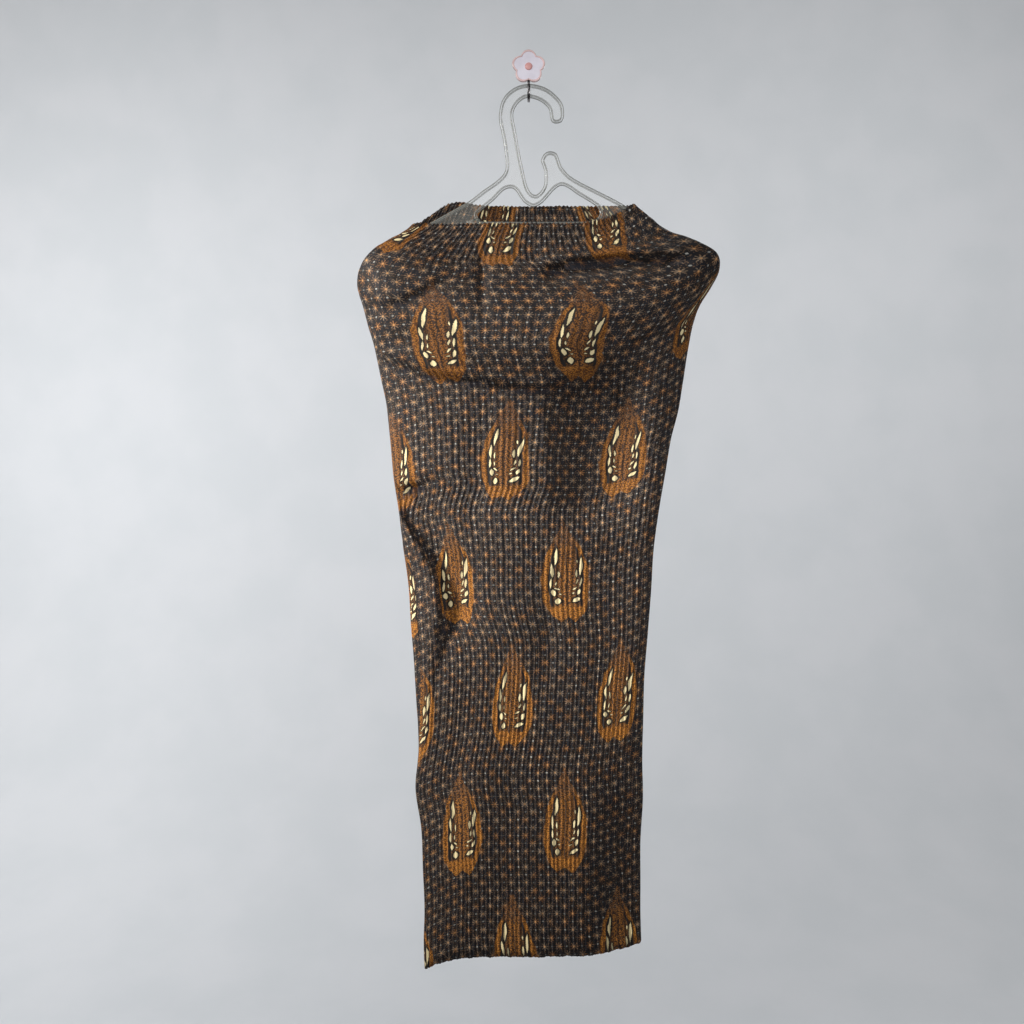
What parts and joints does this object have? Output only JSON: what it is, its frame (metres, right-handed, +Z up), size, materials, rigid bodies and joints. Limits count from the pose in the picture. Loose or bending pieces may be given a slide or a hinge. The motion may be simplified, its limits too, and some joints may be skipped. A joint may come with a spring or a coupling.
{
  "type": "batik skirt on a clothes hanger and wall hook",
  "caption": "Long tube skirt in narrow pleats with an elastic waist and an all-over batik print, hung on a clear flat hanger from a small flower-shaped wall hook.",
  "frame": {"origin": "the middle of the hook plate's back, where it is stuck to the wall", "axes": "+Z up, +Y into the wall, +X to the right as the front is seen"},
  "size_m": [0.4414, 0.0929, 1.1259],
  "materials": {
    "batik_cloth": "matte pleated polyester with a printed batik pattern",
    "clear_plastic": "clear moulded plastic",
    "petal_plastic": "satin",
    "pink_plastic": "satin",
    "dark_steel": "satin"
  },
  "bodies": {
    "root": {"waistband": "batik_cloth", "front_panel": "batik_cloth", "back_panel": "batik_cloth", "hanger": "clear_plastic", "hook_plate": "petal_plastic", "flower_centre": "pink_plastic", "hook_wire": "dark_steel"}
  },
  "joints": []
}
